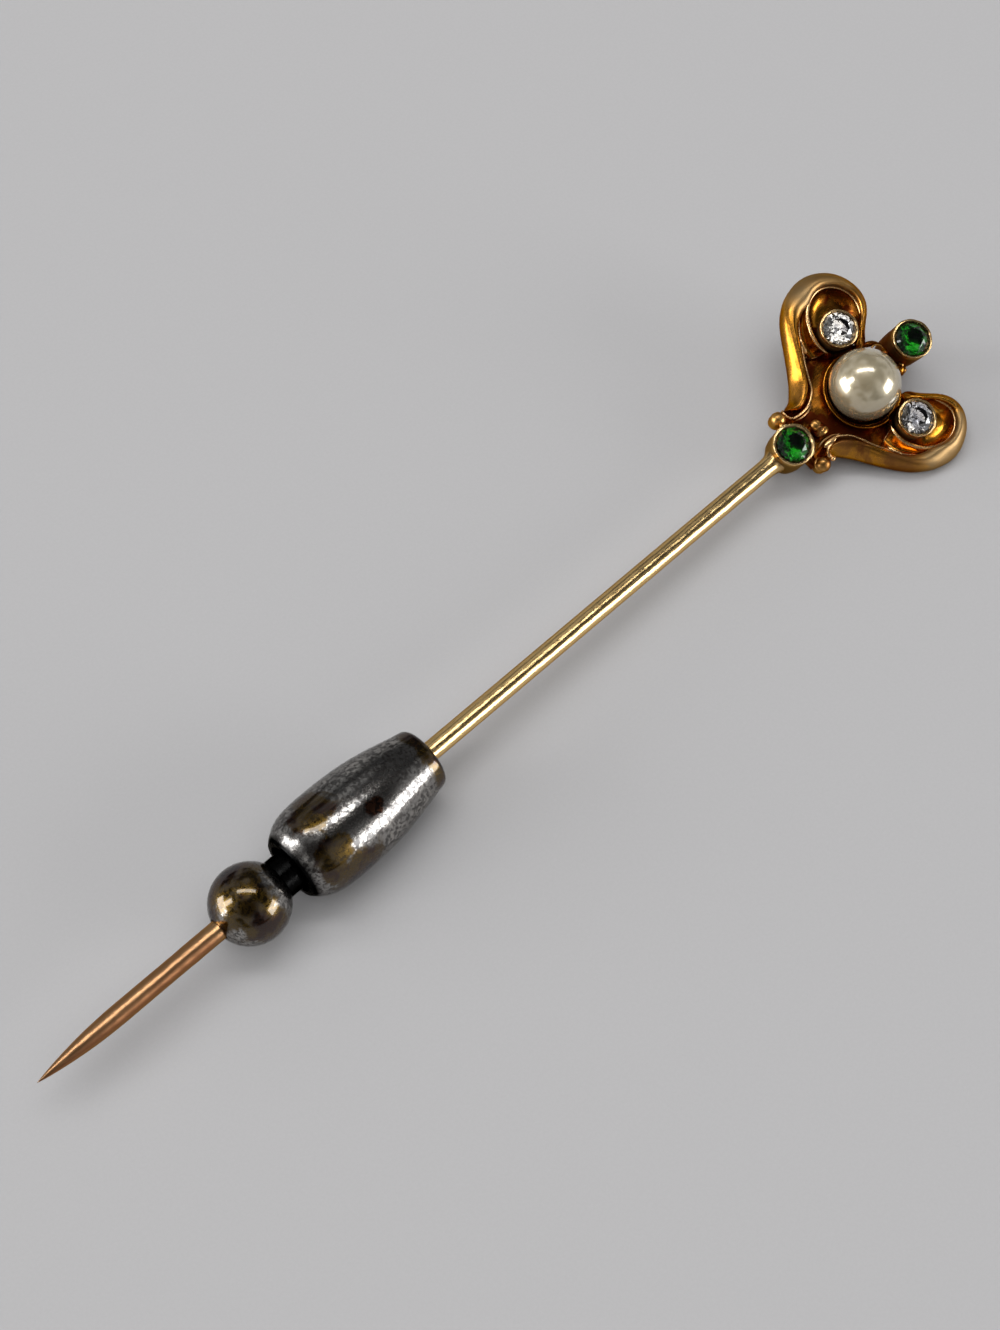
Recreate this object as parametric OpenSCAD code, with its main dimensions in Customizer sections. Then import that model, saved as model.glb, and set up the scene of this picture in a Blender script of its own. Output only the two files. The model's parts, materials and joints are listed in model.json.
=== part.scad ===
// Stick pin with a scrolled head and a two-part safety keeper, in millimetres.
// It lies on the plane Z = 0 on its keeper, one scroll and the foot of its top collet.
// In the pin's own frame the stem is the X axis, the head is at +X, the point at -X,
// and X = 0 is where the stem is soldered to the base collet. +Z is out of the head's face.

/* [Stem] */
// Diameter of the stem
stem_d = 1.05; // [0.9:0.01:1.2]
// Diameter of the finer stretch just before the point
free_d = 1.03; // [0.88:0.01:1.18]
// Length from the base collet to the tip of the point
stem_l = 50.45; // [46:0.05:56]
// Length of the ground point
point_l = 5.0; // [3:0.1:7]
// Length of the finer stretch
free_l = 4.2; // [2:0.1:5]

/* [Head] */
// Angle between the head's plane and the stem
head_pitch = 5; // [0:0.5:8]
// Diameter of the pearl
pearl_d = 3.94; // [3.4:0.02:4.2]
// Girdle diameter of the green stones
green_d = 1.96; // [1.7:0.02:2.0]
// Girdle diameter of the diamonds
diamond_d = 1.88; // [1.6:0.02:1.96]
// Clearance between a stone or the pearl and its setting
seat_gap = 0.04; // [0.03:0.01:0.06]

/* [Keeper] */
// Largest diameter of the barrel
barrel_d = 4.98; // [4.6:0.02:5.4]
// Length of the barrel
barrel_l = 9.0; // [8.5:0.1:9.5]
// Distance from the base collet to the barrel's narrow end
barrel_at = 25.75; // [20:0.25:27]
// Diameter of the release ball
ball_d = 4.14; // [3.8:0.02:4.4]
// Diameter of the neck between ball and barrel
neck_d = 2.18; // [2.0:0.02:2.3]
// Length of the neck that shows between ball and barrel
neck_show = 0.53; // [0.4:0.01:0.8]
// How far the ball pulls out of the barrel
ball_pull = 1.0; // [0.6:0.1:1.4]
// Running clearance round the stem and round the neck
run_gap = 0.05; // [0.03:0.01:0.08]

/* [Rest] */
// How far the head's face leans over to its right scroll as the pin lies
rest_roll = 19; // [16:0.1:22]
// How far the stem falls from the keeper down to the head
rest_fall = 1.2; // [0.8:0.05:1.6]

/* [Hidden] */
$fn = 96;

// Places in the head's own plane: along the pin, across it, and height above the plane
base_at = [1.05, 0];
knob_at = [3.15, 0, 0.3];
pearl_at = [6.57, 0, 1.0];
diamond_at = [7.56, 3.21];
top_at = [10.25, 0.2];
side_bead_at = [1.78, 1.62, 0.1];
link_bead_at = [9.15, 0.6, 0.05];

// Beads, and the bars that carry them
knob_r = 0.42;
knob_bar_r = 0.34;
knob_bar_z = -0.3;
knob_bar_end = 4.75;
side_bead_r = 0.44;
side_post_l = 0.6;
tie_r = 0.3;
tie_z = -0.2;
link_bead_r = 0.44;

// Collets: outer radius at the mouth and at the back, height of the mouth and of the back
base_mouth_r = 1.17;
base_mouth_z = 1.2;
base_back_r = 1.12;
base_back_z = -1.35;
diamond_mouth_r = 1.1;
diamond_mouth_z = 1.15;
diamond_back_r = 0.9;
top_mouth_r = 1.13;
top_mouth_z = 1.55;
top_waist_r = 1.08;
top_waist_z = -0.6;
top_foot_r = 1.0;
lip_bevel = 0.06;
lip_h = 0.12;
lip_l = 0.5;

// The pearl's cup, with the radius and height of each step down inside and up outside
cup_r = 2.24;
cup_wall = 0.27;
cup_rim_z = 0.15;
cup_inside = [[1.7, -0.38], [1.2, -0.62]];
cup_outside = [[1.2, -1.3], [1.85, -0.85], [2.19, -0.2]];
cup_back_z = -1.35;
cup_seat_r = 0.8;

// One scroll, from its toe by the base collet round the lobe to its inner end:
// along the pin, across it, width of the band, height of its crown over the head's plane
ALONG = 0;
ACROSS = 1;
WIDTH = 2;
CROWN = 3;
SCROLL = [
    [2.25, 1.50, 0.42, 0.30],
    [2.65, 1.46, 0.70, 0.50],
    [3.10, 1.54, 0.92, 0.62],
    [3.62, 1.86, 1.12, 0.68],
    [4.20, 2.52, 1.18, 0.70],
    [4.92, 3.72, 1.16, 0.72],
    [5.70, 4.78, 1.12, 0.76],
    [6.65, 5.57, 1.06, 0.80],
    [8.02, 5.92, 1.06, 0.80],
    [9.24, 5.60, 0.94, 0.78],
    [9.94, 4.81, 0.88, 0.74],
    [10.10, 4.00, 0.82, 0.68],
    [9.78, 3.20, 0.74, 0.62],
    [9.27, 2.69, 0.56, 0.54],
    [8.55, 2.00, 0.50, 0.42]];
scroll_back = 0.38;
scroll_steps = 3;
section_points = 14;
web_back_z = -0.41;
web_front_z = -0.22;
// The web stops inside the wall of the pearl's cup
web_hole_r = 1.95;
// Edge of the web from a scroll's inner end to where it runs under the cup
WEB_EDGE = [[7.90, 1.85], [7.30, 0.60]];

// Brilliant cut, as fractions of the girdle radius
table_part = 0.56;
star_part = 0.76;
crown_part = 0.34;
girdle_part = 0.06;
pavilion_part = 0.80;
culet_part = 0.08;
mains = 8;

// Keeper barrel outline: distance from its narrow end and radius, as parts of length and of d/2
BARREL = [
    [0.000, 0.580], [0.006, 0.630], [0.018, 0.672], [0.037, 0.694],
    [0.080, 0.724], [0.150, 0.782], [0.220, 0.840], [0.290, 0.890],
    [0.360, 0.932], [0.430, 0.962], [0.500, 0.983], [0.570, 0.995],
    [0.650, 1.000], [0.730, 1.000], [0.790, 0.990], [0.840, 0.970],
    [0.885, 0.930], [0.925, 0.870], [0.955, 0.800], [0.980, 0.730], [0.996, 0.670]];
belly_part = 0.63;
// The barrel's wide end is dished in round the neck
dish_r = 1.3;
dish_depth = 0.3;
flange_d = 3.1;
flange_l = 0.8;
flange_depth = 3.2;

stem_r = stem_d / 2;
free_r = free_d / 2;
bore_r = stem_r + run_gap;
barrel_r = barrel_d / 2;
ball_r = ball_d / 2;
neck_r = neck_d / 2;
barrel_end = barrel_at + barrel_l;
ball_at = barrel_end + neck_show + ball_r;
belly_at = barrel_at + belly_part * barrel_l;

// Attitude at rest: rise per millimetre along the head, across it and out of its face
along_up = cos(rest_roll) * cos(rest_fall) * sin(head_pitch) - sin(rest_fall) * cos(head_pitch);
across_up = sin(rest_roll) * cos(rest_fall);
face_up = cos(rest_roll) * cos(rest_fall) * cos(head_pitch) + sin(rest_fall) * sin(head_pitch);
joint_h = barrel_r * cos(rest_fall) - belly_at * sin(rest_fall);
// The top collet's rounded foot just reaches the surface
top_foot_z = -(joint_h + top_at[0] * along_up + top_at[1] * across_up - top_foot_r) / face_up;
// Middle of the whole pin's box, seen from where stem and collet meet
mid_x = -19.553;
mid_y = 0.254;

function spline(a, b, c, d, t) =
    0.5 * (2 * b + (c - a) * t + (2 * a - 5 * b + 4 * c - d) * t * t
           + (3 * b - a - 3 * c + d) * t * t * t);
function row(table, i) = table[max(0, min(len(table) - 1, i))];
function along_table(table, steps) = [
    for (i = [0 : len(table) - 2])
        for (k = [0 : steps - (i < len(table) - 2 ? 1 : 0)])
            spline(row(table, i - 1), table[i], table[i + 1], row(table, i + 2), k / steps)];
function unit(v) = v / norm(v);
function ring(r, z, n, turn = 0) = [
    for (i = [0 : n - 1]) [r * cos(360 * (i + turn) / n), r * sin(360 * (i + turn) / n), z]];

// Lays the pin, drawn in its own frame, on the surface
module laid() {
    translate([-mid_x, mid_y, joint_h]) rotate([rest_roll, rest_fall, 0]) children();
}

// Sets what is drawn in the head's plane at its angle to the stem
module on_head() {
    laid() rotate([0, -head_pitch, 0]) children();
}

// Turns a shape drawn round Z into one round the stem, growing towards the point
module along_stem() {
    laid() rotate([0, -90, 0]) children();
}

// Stem, finer free stretch and ground point, in one revolved outline
module stem() {
    free_from = stem_l - point_l - free_l;
    taper_l = 0.4;
    into_collet = 0.35;
    steps = 12;
    fullness = 0.85;
    outline = concat(
        [[0, -into_collet], [stem_r, -into_collet], [stem_r, free_from],
         [free_r, free_from + taper_l]],
        [for (i = [0 : steps - 1])
            let (left = 1 - i / steps)
            [free_r * sin(90 * pow(left, fullness)), stem_l - point_l * left]],
        [[0, stem_l]]);
    along_stem() rotate_extrude() polygon(outline);
}

// Outline of a collet's back with a bevelled edge, from its axis outwards
function bevelled_back(r, z) = [[0, z], [0.8 * r, z], [r, z + 0.2 * r]];

// A round collet with a thin lip over the stone and a seat that follows its pavilion
module collet(mouth_r, mouth_z, stone_r, back) {
    girdle_z = stone_z(mouth_z, stone_r);
    hole_r = stone_r + seat_gap;
    floor_r = stone_r / 5;
    floor_z = girdle_z - stone_r * pavilion_part - 3 * seat_gap;
    rotate_extrude() polygon(concat(back, [
        [mouth_r, mouth_z - lip_l], [mouth_r, mouth_z - lip_bevel], [mouth_r - lip_bevel, mouth_z],
        [stone_r - seat_gap, mouth_z], [hole_r, girdle_z + stone_r * girdle_part + seat_gap],
        [hole_r, girdle_z - seat_gap], [floor_r, floor_z], [0, floor_z]]));
}

// Height of a stone's girdle under the mouth that holds it
function stone_z(mouth_z, stone_r) = mouth_z - lip_h - stone_r * girdle_part;

// A cut stone on its girdle: table, eight star, eight main and sixteen girdle facets,
// eight pavilion facets and a small culet
module cut_stone(r) {
    table = ring(r * table_part, r * (girdle_part + crown_part), mains);
    star = ring(r * star_part, r * (girdle_part + 0.62 * crown_part), mains, 0.5);
    upper = ring(r, r * girdle_part, 2 * mains);
    lower = ring(r, 0, 2 * mains);
    culet = ring(r * culet_part, -r * pavilion_part, mains);
    s = mains;
    u = 2 * mains;
    l = 4 * mains;
    c = 6 * mains;
    faces = concat(
        [[for (i = [0 : mains - 1]) mains - 1 - i]],
        [for (i = [0 : mains - 1]) [i, (i + 1) % mains, s + i]],
        [for (i = [0 : mains - 1]) [i, s + i, u + 2 * i]],
        [for (i = [0 : mains - 1]) [i, u + 2 * i, s + (i + mains - 1) % mains]],
        [for (i = [0 : mains - 1]) [s + i, u + 2 * i + 1, u + 2 * i]],
        [for (i = [0 : mains - 1]) [s + i, u + (2 * i + 2) % (2 * mains), u + 2 * i + 1]],
        [for (i = [0 : 2 * mains - 1])
            let (j = (i + 1) % (2 * mains)) [u + i, u + j, l + j]],
        [for (i = [0 : 2 * mains - 1])
            let (j = (i + 1) % (2 * mains)) [u + i, l + j, l + i]],
        [for (i = [0 : mains - 1]) [l + 2 * i, l + 2 * i + 1, c + i]],
        [for (i = [0 : mains - 1]) [l + 2 * i + 1, l + (2 * i + 2) % (2 * mains), c + (i + 1) % mains]],
        [for (i = [0 : mains - 1]) [l + 2 * i + 1, c + (i + 1) % mains, c + i]],
        [[for (i = [0 : mains - 1]) c + i]]);
    polyhedron(concat(table, star, upper, lower, culet), faces);
}

// One scroll as a closed band: a domed section swept along the spline through SCROLL
module scroll_band() {
    stations = along_table(SCROLL, scroll_steps);
    n = len(stations);
    m = section_points;
    at = [for (s = stations) [s[ALONG], s[ACROSS]]];
    side = [for (i = [0 : n - 1])
        let (t = unit(at[min(n - 1, i + 1)] - at[max(0, i - 1)])) [-t[1], t[0]]];
    points = [for (i = [0 : n - 1])
        for (j = [0 : m - 1])
            let (a = 360 * j / m,
                 across = stations[i][WIDTH] / 2 * cos(a),
                 up = sin(a) > 0 ? stations[i][CROWN] : scroll_back)
            [at[i][0] + side[i][0] * across, at[i][1] + side[i][1] * across, up * sin(a)]];
    walls = [for (i = [0 : n - 2])
        for (j = [0 : m - 1])
            let (k = (j + 1) % m)
            each [[i * m + j, (i + 1) * m + j, (i + 1) * m + k],
                  [i * m + j, (i + 1) * m + k, i * m + k]]];
    ends = [[for (j = [0 : m - 1]) j], [for (j = [0 : m - 1]) n * m - 1 - j]];
    polyhedron(points, concat(walls, ends));
}

// The thin web that closes the head's back between the scrolls and carries the diamond collets
module back_web() {
    side = concat([for (s = SCROLL) [s[ALONG], s[ACROSS]]], WEB_EDGE);
    last = len(side) - 1;
    translate([0, 0, web_back_z]) linear_extrude(web_front_z - web_back_z) difference() {
        polygon(concat(side, [for (i = [0 : last]) [side[last - i][0], -side[last - i][1]]]));
        translate([pearl_at[0], pearl_at[1]]) circle(web_hole_r);
    }
}

// Everything that comes twice in the head's gold: scroll, diamond's collet and beads
module head_side() {
    scroll_band();
    translate([diamond_at[0], diamond_at[1], 0])
        collet(diamond_mouth_r, diamond_mouth_z, diamond_d / 2,
               bevelled_back(diamond_back_r, web_back_z));
    translate(side_bead_at) side_bead();
    translate(link_bead_at) sphere(link_bead_r);
}

// A round-topped bead between base collet and scroll toe, on a short post
module side_bead() {
    sphere(side_bead_r);
    translate([0, 0, -side_post_l]) cylinder(h = side_post_l, r = side_bead_r);
}

// Cross bar through the base collet that carries the two side beads
module tie_bar() {
    translate([side_bead_at[0], -side_bead_at[1], tie_z]) rotate([-90, 0, 0])
        cylinder(h = 2 * side_bead_at[1], r = tie_r);
}

// Shallow cup under the pearl, with a dished seat in its floor
module pearl_cup() {
    seat_r = pearl_d / 2 + seat_gap;
    seat_steps = 4;
    inner_r = cup_r - cup_wall;
    bevel = 0.05;
    seat = [for (i = [0 : seat_steps])
        let (r = cup_seat_r * (1 - i / seat_steps))
        [r, pearl_at[2] - sqrt(seat_r * seat_r - r * r)]];
    translate([pearl_at[0], pearl_at[1], 0]) rotate_extrude() polygon(concat(
        [[0, cup_back_z]], cup_outside, [[cup_r, cup_rim_z - bevel], [cup_r - bevel, cup_rim_z],
        [inner_r, cup_rim_z], [inner_r, 0]], cup_inside, seat));
}

// Base collet with a rounded back, where the stem is soldered in
module base_collet() {
    translate([base_at[0], base_at[1], 0])
        collet(base_mouth_r, base_mouth_z, green_d / 2,
               bevelled_back(base_back_r, base_back_z));
}

// Long top collet whose rounded foot is what the head rests on
module top_collet() {
    steps = 8;
    foot = [for (i = [0 : steps])
        let (a = 90 * i / steps)
        [top_foot_r * sin(a), top_foot_z - top_foot_r * cos(a)]];
    translate([top_at[0], top_at[1], 0])
        collet(top_mouth_r, top_mouth_z, green_d / 2, concat(foot, [[top_waist_r, top_waist_z]]));
}

// Bar and bead that tie the base collet to the cup
module knob() {
    translate([base_at[0], 0, knob_bar_z]) rotate([0, 90, 0])
        cylinder(h = knob_bar_end - base_at[0], r = knob_bar_r);
    translate(knob_at) sphere(knob_r);
}

// The soldered gold in one solid
module gold_pin() {
    color("goldenrod") union() {
        stem();
        on_head() {
            base_collet();
            top_collet();
            pearl_cup();
            knob();
            tie_bar();
            back_web();
            head_side();
            mirror([0, 1, 0]) head_side();
        }
    }
}

module pearl() {
    color("ivory") on_head() translate(pearl_at) sphere(pearl_d / 2);
}

// A stone seated in the mouth of a collet that stands at a place on the head
module seated_stone(at, mouth_z, d) {
    on_head() translate([at[0], at[1], stone_z(mouth_z, d / 2)]) cut_stone(d / 2);
}

module base_stone() {
    color("darkgreen") seated_stone(base_at, base_mouth_z, green_d);
}

module top_stone() {
    color("darkgreen") seated_stone(top_at, top_mouth_z, green_d);
}

module left_diamond() {
    color("gainsboro") seated_stone(diamond_at, diamond_mouth_z, diamond_d);
}

module right_diamond() {
    color("gainsboro") seated_stone([diamond_at[0], -diamond_at[1]], diamond_mouth_z, diamond_d);
}

// Egg-shaped barrel, bored for the stem, with a chamber for the neck's flange
module keeper_barrel() {
    side = [for (p = BARREL) [p[1] * barrel_r, p[0] * barrel_l]];
    chamber_play = 0.1;
    chamber_from = barrel_l - flange_depth - flange_l - chamber_play;
    chamber_l = flange_l + ball_pull + 2 * chamber_play;
    past = 1;
    color("dimgray") along_stem() translate([0, 0, barrel_at]) difference() {
        rotate_extrude() polygon(concat([[0, 0]], side,
            [[dish_r, barrel_l - dish_depth], [0, barrel_l - dish_depth]]));
        translate([0, 0, -past]) cylinder(h = barrel_l + 2 * past, r = bore_r);
        translate([0, 0, chamber_from]) cylinder(h = chamber_l, r = flange_d / 2 + run_gap);
        translate([0, 0, chamber_from]) cylinder(h = barrel_l, r = neck_r + run_gap);
    }
}

// Release ball with its neck and the flange that keeps it in the barrel
module keeper_ball() {
    inner_end = barrel_end - flange_depth - flange_l;
    past = 1;
    bore_l = ball_at + ball_r - inner_end + 2 * past;
    color("dimgray") along_stem() difference() {
        union() {
            translate([0, 0, ball_at]) sphere(ball_r);
            translate([0, 0, inner_end]) cylinder(h = ball_at - inner_end, r = neck_r);
            translate([0, 0, inner_end]) cylinder(h = flange_l, r = flange_d / 2);
        }
        translate([0, 0, inner_end - past]) cylinder(h = bore_l, r = bore_r);
    }
}

gold_pin();
pearl();
base_stone();
top_stone();
left_diamond();
right_diamond();
keeper_barrel();
keeper_ball();
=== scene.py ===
# %% [markdown]
# # A scrolled stick pin
# This notebook dresses a packed pin: a gold stem with a scrolled head, a pearl, four stones and a
# two-part keeper. The imported solids are right in size but plain, so each one is either given a
# finish or replaced by a surface worked out with numpy that shows what a jeweller would see.
# First the frame is loaded. Nothing made later may grow past it.

# %% Load the frame
import bpy
import json
import numpy as np
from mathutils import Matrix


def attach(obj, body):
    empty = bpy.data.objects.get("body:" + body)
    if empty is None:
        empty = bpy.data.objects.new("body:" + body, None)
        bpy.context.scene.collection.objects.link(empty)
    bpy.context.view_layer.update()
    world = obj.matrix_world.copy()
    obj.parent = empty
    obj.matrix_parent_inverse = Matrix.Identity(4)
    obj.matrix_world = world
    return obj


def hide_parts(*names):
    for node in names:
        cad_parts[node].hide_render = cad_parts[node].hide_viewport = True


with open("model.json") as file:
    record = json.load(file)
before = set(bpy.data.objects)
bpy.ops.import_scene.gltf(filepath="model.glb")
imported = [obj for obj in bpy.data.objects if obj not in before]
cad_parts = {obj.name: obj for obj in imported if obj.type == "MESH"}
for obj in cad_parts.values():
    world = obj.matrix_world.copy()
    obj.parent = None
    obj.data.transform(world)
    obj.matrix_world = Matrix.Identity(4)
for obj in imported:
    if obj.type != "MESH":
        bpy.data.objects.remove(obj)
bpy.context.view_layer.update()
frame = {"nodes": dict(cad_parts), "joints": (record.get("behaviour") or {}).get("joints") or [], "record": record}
record = frame["record"]
MM = 0.001

# %% [markdown]
# ## Two drawing frames
# The pin lies on its keeper and on one scroll, so nothing on it is level. All shapes are drawn in
# millimetres in the stem's or the head's own frame, from the place where the stem meets the base
# collet, and two matrices lay them down. The stem's direction and place come from the record: the
# keeper's joint runs along the stem, and the mount tells how far along it lies.

# %% The pin's frame and the head's frame
HEAD_ROLL = 19.0      # degrees that the head's face leans over
HEAD_PITCH = 5.0      # degrees between the head's plane and the stem
MOUNT_ALONG = 43.55   # mm from the base collet to the mount on the stem


def unit(rows):
    """Each vector at length 1."""
    return rows / np.linalg.norm(rows, axis=-1, keepdims=True)


to_point = unit(np.array(frame["joints"][0]["axis"], float))
stem_start = np.array(record["mounts"][0]["pos_m"]) - to_point * MOUNT_ALONG * MM


def turned(axis, degrees):
    """Rotation about X, Y or Z (0, 1, 2): the other two mix by the angle's cosine and sine."""
    i, j = (axis + 1) % 3, (axis + 2) % 3
    c, s = np.cos(np.radians(degrees)), np.sin(np.radians(degrees))
    matrix = np.eye(3)
    matrix[[i, j, i, j], [i, j, j, i]] = c, c, -s, s
    return matrix


FALL = np.degrees(np.arcsin(to_point[2]))
LAID = turned(1, FALL) @ turned(0, HEAD_ROLL)
HEAD = LAID @ turned(1, -HEAD_PITCH)
STEM = LAID @ turned(1, -90)


def lay(points, turn):
    """Millimetres in a drawing frame to metres in the row: turn, scale, move to the stem."""
    return points @ turn.T * MM + stem_start


print("stem falls", round(float(FALL), 2), "degrees; it starts at", np.round(stem_start / MM, 2))

# %% [markdown]
# ## Meshes from grids
# Every surface is a grid: rows along it and columns round it. Two neighbours in a row and the same
# two in the next row make a face. A grid that closes round its columns is a tube, and a fan to one
# point shuts each end. The sign of the enclosed volume tells whether the faces look out. A point
# may carry two numbers for the materials, which become attributes: how deep it lies in a recess,
# where the gold is painted darker and redder, as tarnished gold and as painted shade, and how dull
# it is.

# %% Grid helpers
def grid_of(*parts):
    """One grid of points from parts side by side. A part holds one number for each point (rows x
    columns, or less, which is repeated) or several (rows x columns x numbers)."""
    parts = [np.atleast_2d(part) for part in parts]
    parts = [part if part.ndim == 3 else part[..., None] for part in parts]
    size = np.broadcast_shapes(*(part.shape[:2] for part in parts))
    return np.concatenate([np.broadcast_to(p, (*size, p.shape[2])) for p in parts], -1)


def grid_quads(rows, cols, steps):
    """The quads between a row and the next, round all columns, for so many steps. With as many
    steps as rows the last row joins the first."""
    i, j = np.meshgrid(np.arange(steps), np.arange(cols), indexing="ij")
    k, m = (j + 1) % cols, (i + 1) % rows
    return np.stack([i * cols + j, i * cols + k, m * cols + k, m * cols + j], -1).reshape(-1, 4)


def tube(points):
    """Rows x columns of points, closed round the columns, with a fan to a point at each end, which
    is the end row itself if it has shrunk to a point. A point is x, y, z in mm, and may carry its
    recess and its dullness, from 0 to 1."""
    points = np.asarray(points, float)
    points = np.concatenate([points, np.zeros((*points.shape[:2], 5 - points.shape[2]))], -1)
    ends = points[[0, -1]].mean(axis=1)
    first, last = (np.ptp(points[k, :, :3], axis=0).max() < 1e-7 for k in (0, -1))
    body = points[int(first):len(points) - int(last)]
    rows, cols = body.shape[:2]
    here, n = np.arange(cols), rows * cols
    on, top = (here + 1) % cols, n - cols
    low = np.stack([on, here, np.full(cols, n)], -1)
    high = np.stack([here + top, on + top, np.full(cols, n + 1)], -1)
    return (np.vstack([body.reshape(-1, 5), ends]), grid_quads(rows, cols, rows - 1),
            np.vstack([low, high]))


def volume(vertices, quads, triangles):
    """Signed volume: a sixth of the sum of each triangle's triple product."""
    t = np.vstack([quads[:, :3], quads[:, [0, 2, 3]], triangles])
    a, b, c = (vertices[t[:, k], :3] for k in range(3))
    return float(np.einsum("ij,ij->i", a, np.cross(b, c)).sum() / 6)


def put(name, data):
    """A new object in the scene."""
    item = bpy.data.objects.new(name, data)
    bpy.context.scene.collection.objects.link(item)
    return item


def make_piece(name, shells, turn, material, body, replaces, sharp=50):
    """Joins closed shells, drawn in mm, into one object that lies in the row's frame."""
    points, faces, start, held = [], [], 0, 0.0
    for vertices, quads, triangles in shells:
        v = volume(vertices, quads, triangles)
        step = 1 if v > 0 else -1
        points.append(vertices)
        faces += (quads[:, ::step] + start).tolist() + (triangles[:, ::step] + start).tolist()
        start += len(vertices)
        held += abs(v)
    points = np.vstack(points)
    mesh = bpy.data.meshes.new(name)
    mesh.from_pydata(lay(points[:, :3], turn).tolist(), [], faces)
    for column, label in ((3, "recess"), (4, "dull")):
        values = mesh.attributes.new(label, "FLOAT", "POINT")
        values.data.foreach_set("value", np.ascontiguousarray(points[:, column], np.float32))
    mesh.polygons.foreach_set("use_smooth", np.ones(len(faces), bool))
    mesh.set_sharp_from_angle(angle=np.radians(sharp))
    mesh.materials.append(material)
    piece = put(name, mesh)
    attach(piece, body)
    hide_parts(replaces)
    print(f"{name}: {len(shells)} shells, {len(faces)} faces, {held:.2f} mm3")


def gold_piece(name, shells, material, turn=HEAD):
    """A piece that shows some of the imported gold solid."""
    make_piece(name, shells, turn, material, "pin", "gold_pin")


def both_sides(name, shells, material, left=(), right=()):
    """The left piece as drawn and the right piece mirrored, each with shells of its own."""
    gold_piece("left_" + name, lean([*shells, *left]), material)
    gold_piece("right_" + name, lean(flip([*shells, *right])), material)

# %% [markdown]
# ## Lines, bends and rings
# Three small helpers draw almost everything. The first rounds a given table with a Catmull-Rom
# spline, which passes through every row. The second bends an outline's corners, because a bright
# edge on metal comes from a small radius. The third spins an outline round an axis.

# %% Curve helpers
def smooth_rows(rows, steps, closed=False):
    """Catmull-Rom: from row b to row c, a cubic whose slopes there are half of c-a and d-b."""
    p = np.asarray(rows, float)
    ring = np.vstack([p[-1:], p, p[:2]]) if closed else np.vstack(
        [2 * p[0] - p[1], p, 2 * p[-1] - p[-2]])
    t = np.linspace(0, 1, steps, endpoint=False)[None, :, None]
    a, b, c, d = (ring[k:len(ring) - 3 + k, None, :] for k in range(4))
    line = 0.5 * (2 * b + (c - a) * t + (2 * a - 5 * b + 4 * c - d) * t ** 2
                  + (3 * b - a - 3 * c + d) * t ** 3)
    line = line.reshape(-1, p.shape[1])
    return line if closed else np.vstack([line, p[-1]])


def rounded(outline, radius):
    """Each inner corner becomes a quadratic Bezier from radius before it to radius after it."""
    p = np.asarray(outline, float)
    before, corner, after = p[:-2], p[1:-1], p[2:]
    back, on = before - corner, after - corner
    room_back = np.linalg.norm(back[:, :2], axis=1, keepdims=True)
    room_on = np.linalg.norm(on[:, :2], axis=1, keepdims=True)
    r = np.minimum(radius, 0.45 * np.minimum(room_back, room_on))
    start, end = corner + back / room_back * r, corner + on / room_on * r
    t = np.linspace(0, 1, 5)[None, :, None]
    bends = ((1 - t) ** 2 * start[:, None] + 2 * t * (1 - t) * corner[:, None]
             + t ** 2 * end[:, None])
    return np.vstack([p[:1], bends.reshape(-1, p.shape[1]), p[-1:]])


def spin(outline, sides, centre=(0, 0), wave=0.0, phase=0.0):
    """Outline of (radius, height) round Z: x = r cos, y = r sin. A wave lets the radius swell five
    times round. A third and a fourth number in the outline are recess and dullness."""
    outline = np.asarray(outline, float)
    angle = np.linspace(0, 2 * np.pi, sides, endpoint=False)
    swell = 1 + wave * (np.sin(5 * angle + phase) + 0.6 * np.sin(10 * angle - phase))
    r = outline[:, :1] * swell
    x, y = centre[0] + r * np.cos(angle), centre[1] + r * np.sin(angle)
    return grid_of(x, y, outline[:, None, 1:])


def ball(centre, radii, rows=24, sides=32, recess=0.0):
    """An ellipsoid: the unit sphere's cosines and sines, times three radii."""
    up = np.linspace(-np.pi / 2, np.pi / 2, rows)[:, None]
    round_ = np.linspace(0, 2 * np.pi, sides, endpoint=False)[None, :]
    sphere = grid_of(np.cos(up) * np.cos(round_), np.cos(up) * np.sin(round_), np.sin(up))
    sphere[0], sphere[-1] = (0, 0, -1), (0, 0, 1)
    return tube(grid_of(centre + sphere * np.broadcast_to(radii, 3), recess))


def wire(path, radius, sides=12, recess=0.0):
    """A ring across the path at each of its points, of one radius or of one for each point."""
    path = np.asarray(path, float)
    along = unit(np.gradient(path, axis=0))
    side = unit(np.cross(along, [0, 0, 1.0]))
    up = np.cross(side, along)
    angle = np.linspace(0, 2 * np.pi, sides, endpoint=False)[None, :, None]
    r = np.broadcast_to(np.asarray(radius, float), (len(path),))[:, None, None]
    ring = path[:, None] + r * (side[:, None] * np.cos(angle) + up[:, None] * np.sin(angle))
    return tube(grid_of(ring, recess))


def tapered(radius, count, share):
    """Radii that grow from a fifth at both ends to the full radius within a share of the length."""
    t = np.linspace(0, 1, count)
    grown = np.clip(np.minimum(t, 1 - t) / share, 0, 1)
    return radius * (0.2 + 0.8 * np.sin(np.pi / 2 * grown))


def strand(rows, radius, share, recess=0.0):
    """A wire along a smoothed table that is thin at both ends."""
    path = smooth_rows(rows, 6)
    return wire(path, tapered(radius, len(path), share), recess=recess)


def sunk(height, top, depth):
    """How far a height lies under an edge, as a share of a depth, held between 0 and 1."""
    return np.clip((top - height) / depth, 0, 1)


def flip(shells):
    """The same shells mirrored to the other side of the head: y changes sign."""
    return [(v * [1, -1, 1, 1, 1], q, t) for v, q, t in shells]


LEAN, LEAN_FROM, LEAN_OVER = 0.26, 3.3, 3.0


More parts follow.
